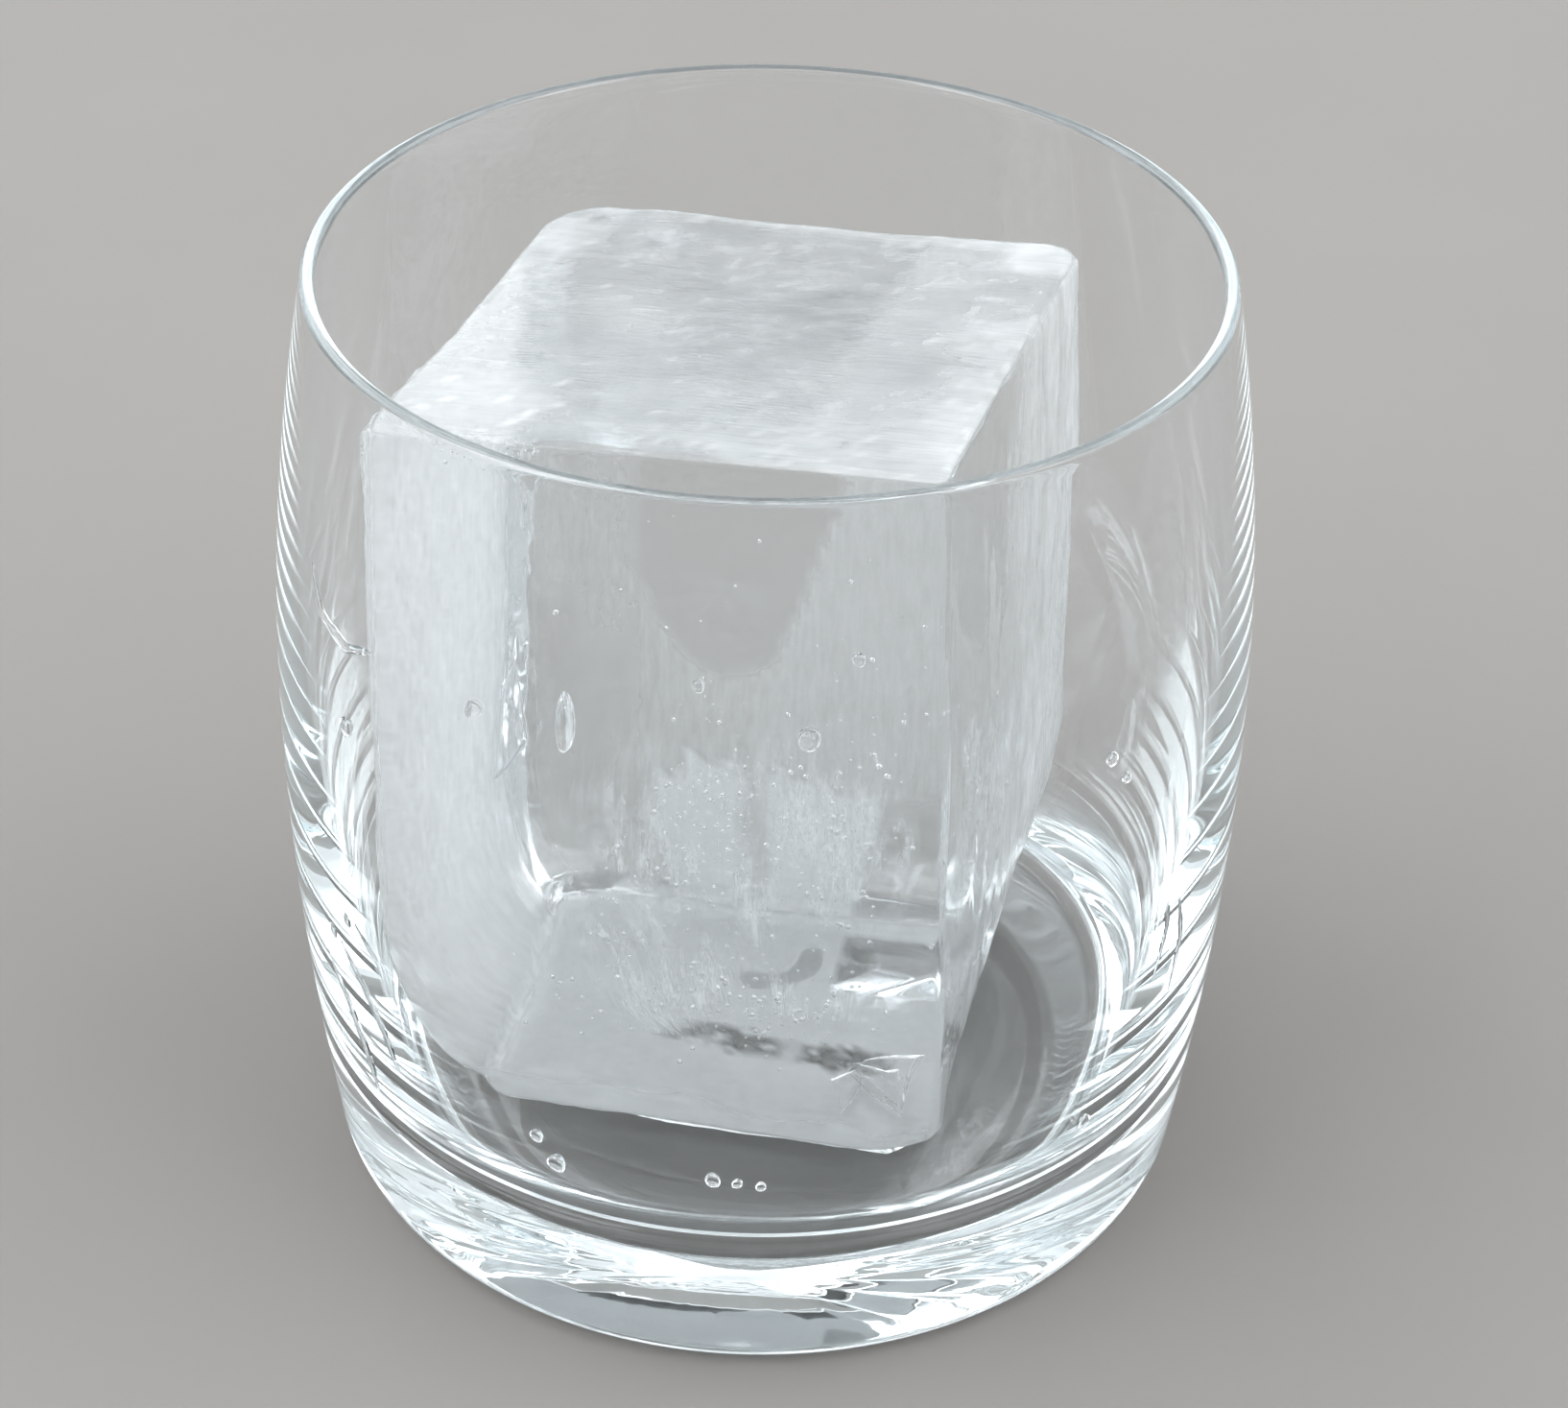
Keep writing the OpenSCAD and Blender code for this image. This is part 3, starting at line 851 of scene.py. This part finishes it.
def trickle(tree, path, width, seed=0):
    """A thread of water on the wall's inside: a low ridge along (bearing from the front, height) points."""
    count, across = 40, 9
    t = np.linspace(0, 1, count)
    knots = np.linspace(0, 1, len(path))
    bearing = np.radians(np.interp(t, knots, [p[0] for p in path]))
    level = np.interp(t, knots, [p[1] for p in path])
    for _ in range(6):
        bearing[1:-1] = (bearing[:-2] + 2 * bearing[1:-1] + bearing[2:]) / 4
        level[1:-1] = (level[:-2] + 2 * level[1:-1] + level[2:]) / 4
    spine, normals = [], []
    for b, z in zip(bearing, level):
        r = wall_face(z)[0]
        hit, normal, _, _ = tree.find_nearest(Vector((r * math.sin(b), -r * math.cos(b), z)) * MM)
        spine.append(np.array(hit[:]) / MM)
        normals.append(np.array(normal[:]))
    spine, normals = np.array(spine), np.array(normals)
    forward = np.gradient(spine, axis=0)
    side = np.cross(normals, forward)
    side /= np.linalg.norm(side, axis=1)[:, None]
    swell = 1 + 0.35 * fractal(np.column_stack([t * 20, t * 0, t * 0]), (3, 3, 3), seed, 2)
    half = 0.5 * width * swell * np.sqrt(np.sin(math.pi * np.clip(t, 0.01, 0.99)))
    verts = []
    for i in range(count):
        for j in range(across):
            a = math.pi * j / (across - 1)
            verts.append(spine[i] + half[i] * (-math.cos(a) * side[i] + 0.45 * math.sin(a) * normals[i]))
    for i in range(count):
        verts += [spine[i] + sign * half[i] * side[i] - SUNK * normals[i] for sign in (-1, 1)]
    faces = []
    low = count * across
    for i in range(count - 1):
        for j in range(across - 1):
            a = i * across + j
            faces.append((a, a + across, a + across + 1, a + 1))
        a, b = low + 2 * i, low + 2 * i + 2
        faces += [(a, a + 1, b + 1, b), (i * across, a, b, (i + 1) * across),
                  (i * across + across - 1, (i + 1) * across + across - 1, b + 1, a + 1)]
    faces.append((*range(across), low + 1, low))
    end = (count - 1) * across
    faces.append((*reversed(range(end, end + across)), low + 2 * count - 2, low + 2 * count - 1))
    return verts, faces


def gather(parts):
    """One list of vertices and one of faces from several meshes."""
    verts, faces = [], []
    for v, f in parts:
        faces += [tuple(int(i) + len(verts) for i in face) for face in f]
        verts += list(v)
    return verts, faces


def puddle():
    """Melt water held under the block's foot, out to a ragged rounded edge on the floor of the glass."""
    turns, rings = 160, 26
    corners = [foot_corner(k) for k in range(4)]
    middle = sum(corners) / 4
    angle = np.arange(turns) * 2 * math.pi / turns
    ray = np.stack([np.cos(angle), np.sin(angle)], 1)
    reach = np.full(turns, 1e9)
    for c, d in zip(corners, corners[1:] + corners[:1]):
        along = (d - c) / np.linalg.norm(d - c)
        out = np.array([along[1], -along[0]])
        gap = (c - middle) @ out + PUDDLE_PAST
        facing = ray @ out
        reach = np.where(facing > 1e-3, np.minimum(reach, gap / np.maximum(facing, 1e-3)), reach)
    ring = np.column_stack([ray * 9, np.zeros(turns)])
    reach = reach * 0.97 + 1.2 * fractal(ring, (3, 3, 3), 81, 3)
    edge = middle + ray * reach[:, None]
    far = np.linalg.norm(edge, axis=1)
    edge *= np.minimum(1, (BOWL_X - 0.1) / far)[:, None]
    verts = [(*middle, FLOOR_T + PUDDLE_T)]
    for i in range(1, rings + 1):
        share = 1 - (1 - i / rings) ** 2
        lift = PUDDLE_T * (1 - share**14) ** 0.5 if share < 1 else 0.0
        verts.extend((*(middle + (e - middle) * share), FLOOR_T + lift) for e in edge)
    verts.extend((*e, FLOOR_T - SUNK) for e in edge)
    verts.append((*middle, FLOOR_T - SUNK))
    k = np.arange(turns)
    m = (k + 1) % turns
    faces = [(0, 1 + a, 1 + b) for a, b in zip(k, m)]
    for i in range(rings):
        base = 1 + i * turns
        faces += list(zip(base + k, base + turns + k, base + turns + m, base + m))
    last = 1 + (rings + 1) * turns
    faces += [(last, last - turns + b, last - turns + a) for a, b in zip(k, m)]
    return verts, faces


# ================================================================ build
glass = glass_material()
water = water_material()
ice = ice_material()
frosting = frost_material()

tumbler = lathe("tumbler_glass", glass_profile(), 256, glass)
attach(tumbler, "glass")
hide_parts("tumbler")

verts, faces, own, side = block_surface((80, 76, 120))
block = mesh_object("ice_clear", verts, faces, ice, surface_attributes(own, side))
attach(block, "ice")
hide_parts("ice_block")

verts, faces, own, side = block_surface((50, 46, 76), FROST_DEPTH)
frost = mesh_object("ice_frost", verts, faces, frosting, surface_attributes(own, side))
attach(frost, "ice")

air = air_material()
curtain = curtain_material()

verts, faces = bubbles(
    5,
    [
        ((-15, -17, 77.3), (3.0, 2.4, 0.7), 260, 0.05, 0.22),
        ((-1, 0, 30), (2.6, 4.0, 6.0), 260, 0.05, 0.28),
        ((9, 3, 27), (3.0, 4.0, 5.0), 200, 0.05, 0.30),
        ((0, -6, 14.5), (9.0, 4.0, 1.2), 360, 0.05, 0.30),
        ((-10, 4, 22), (3.0, 5.0, 4.0), 120, 0.05, 0.25),
        ((14, -6, 45), (4.0, 6.0, 9.0), 40, 0.08, 0.4),
        ((0, 0, 50), (13.0, 12.0, 14.0), 60, 0.08, 0.35),
    ],
)
air_balls = mesh_object("ice_bubbles", verts, faces, air)
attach(air_balls, "ice")

# Three cracks that meet at the chipped corner of the foot, and one by the left face
parts = [
    crack((24.3, -20.6, 20.5), (15, -7, 10.2), (14.5, -8.5, 9.9), (22.5, -19.5, 12.5), 1.0, 91),
    crack((15, -7, 10.1), (20.5, -12, 13), (21.5, -14.8, 10.4), (16, -9, 9.9), 0.5, 92),
    crack((15.5, -8, 10), (13.5, -14, 12.5), (15, -17.5, 10.2), (16.5, -12, 9.9), 0.6, 93),
    crack((-24.8, 9, 27.5), (-22.5, 12, 31), (-24.2, 13.5, 40), (-25.0, 12, 37), 0.7, 94),
]
verts, faces = gather(parts)
cracks = mesh_object("ice_cracks", verts, faces, air)
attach(cracks, "ice")

verts, faces, own, edge = veils()
curtains = mesh_object("ice_veils", verts, faces, curtain, {"block": own, "edge": edge})
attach(curtains, "ice")

verts, faces = puddle()
pool = mesh_object("melt_puddle", verts, faces, water)
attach(pool, "glass")
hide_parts("melt_film")

nodes = {o.name: o for o in bpy.data.objects}
wall_tree, ice_tree = surface_tree(tumbler), surface_tree(block)
parts = [
    bead_mesh(wall_tree, centre, 0.62 * size, 1.25, seed=i)
    for i, (centre, size) in enumerate(islands(nodes["wall_drops"]))
]
parts += [
    trickle(wall_tree, [(-63, 70), (-60, 66.5), (-54, 65.5), (-49, 67)], 1.1, 61),
    trickle(wall_tree, [(-64, 29), (-59, 25.5), (-56, 21), (-55, 17)], 1.3, 62),
    trickle(wall_tree, [(58, 40), (60, 35), (59, 29)], 0.8, 63),
]
verts, faces = gather(parts)
wall_beads = mesh_object("wall_beads", verts, faces, water)
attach(wall_beads, "glass")
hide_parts("wall_drops")

parts = []
hanging = islands(nodes["ice_drops"])
tallest = min(range(len(hanging)), key=lambda i: abs(hanging[i][0][0] + 17) - hanging[i][1])
for i, (centre, size) in enumerate(hanging):
    share, tall = (0.9, 3.4) if i == tallest else (0.6, 1.15)
    parts.append(bead_mesh(ice_tree, centre, share * size, tall, seed=40 + i))
verts, faces = gather(parts)
ice_beads = mesh_object("ice_beads", verts, faces, water)
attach(ice_beads, "ice")
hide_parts("ice_drops")

# ================================================================ stage, light, camera
bpy.ops.mesh.primitive_plane_add(size=4)
floor = bpy.context.object
floor.name = "floor"
floor.location.z = -0.1 * MM
floor.data.materials.append(floor_material())

world = bpy.data.worlds.new("studio")
bpy.context.scene.world = world
w = Graph(world)
direction = w.node("ShaderNodeTexCoord").outputs["Generated"]
x, y, z = w.node("ShaderNodeSeparateXYZ", {0: direction}).outputs
out_sideways = w.math("SQRT", w.math("ADD", w.math("MULTIPLY", x, x), w.math("MULTIPLY", y, y)))
level = w.math("ARCTAN2", z, out_sideways)
turn = w.math("ARCTAN2", x, y)


def panel(turn_mid, turn_half, level_mid, level_half, soft):
    """A soft-edged bright rectangle of the surroundings; angles in degrees, 0 behind the glass."""
    mid, half, edge = (math.radians(v) for v in (turn_mid, turn_half, soft))
    away = w.math("ABSOLUTE", w.math("SUBTRACT", turn, mid))
    off = w.math("MINIMUM", away, w.math("ABSOLUTE", w.math("SUBTRACT", away, 2 * math.pi)))
    across = w.remap(off, half, half + edge, 1.0, 0.0)
    rise = w.math("ABSOLUTE", w.math("SUBTRACT", level, math.radians(level_mid)))
    upright = w.remap(rise, math.radians(level_half), math.radians(level_half) + edge, 1.0, 0.0)
    return w.math("MULTIPLY", across, upright)


light = w.remap(level, *(math.radians(v) for v in SKY_LEVELS), *SKY_LIGHT)
for *shape, brightness in PANELS:
    light = w.math("ADD", light, w.math("MULTIPLY", panel(*shape), brightness))
red, blue = w.math("MULTIPLY", light, 0.98), w.math("MULTIPLY", light, 1.015)
tint = w.node("ShaderNodeCombineColor", {0: red, 1: light, 2: blue})
back = w.node("ShaderNodeBackground", {"Color": tint.outputs[0], "Strength": SKY_STRENGTH})
out = w.node("ShaderNodeOutputWorld")
w.tree.links.new(back.outputs[0], out.inputs["Surface"])

camera_data = bpy.data.cameras.new("camera")
camera = bpy.data.objects.new("camera", camera_data)
bpy.context.scene.collection.objects.link(camera)
bpy.context.scene.camera = camera
look = Vector((0, math.cos(CAMERA_TILT), -math.sin(CAMERA_TILT)))
place = Vector(CAMERA_TARGET) - CAMERA_DISTANCE * look
right = Vector((1, 0, 0))
up = right.cross(look)
turned_right = math.cos(CAMERA_ROLL) * right + math.sin(CAMERA_ROLL) * up
turned_up = -math.sin(CAMERA_ROLL) * right + math.cos(CAMERA_ROLL) * up
camera.matrix_world = Matrix(
    [[turned_right[i], turned_up[i], -look[i], place[i] * MM] for i in range(3)] + [[0, 0, 0, 1]]
)
camera_data.sensor_width = CAMERA_SENSOR
camera_data.sensor_fit = "HORIZONTAL"
camera_data.lens = CAMERA_LENS
camera_data.clip_start = 0.01

scene = bpy.context.scene
scene.view_settings.view_transform = "Standard"
scene.cycles.max_bounces = CLEAR_BOUNCES
scene.cycles.transmission_bounces = CLEAR_BOUNCES
scene.cycles.glossy_bounces = CLEAR_BOUNCES
scene.cycles.diffuse_bounces = DIFFUSE_BOUNCES
scene.cycles.transparent_max_bounces = OPEN_BOUNCES
scene.cycles.use_denoising = True
scene.cycles.use_adaptive_sampling = True
scene.cycles.adaptive_threshold = 0.04
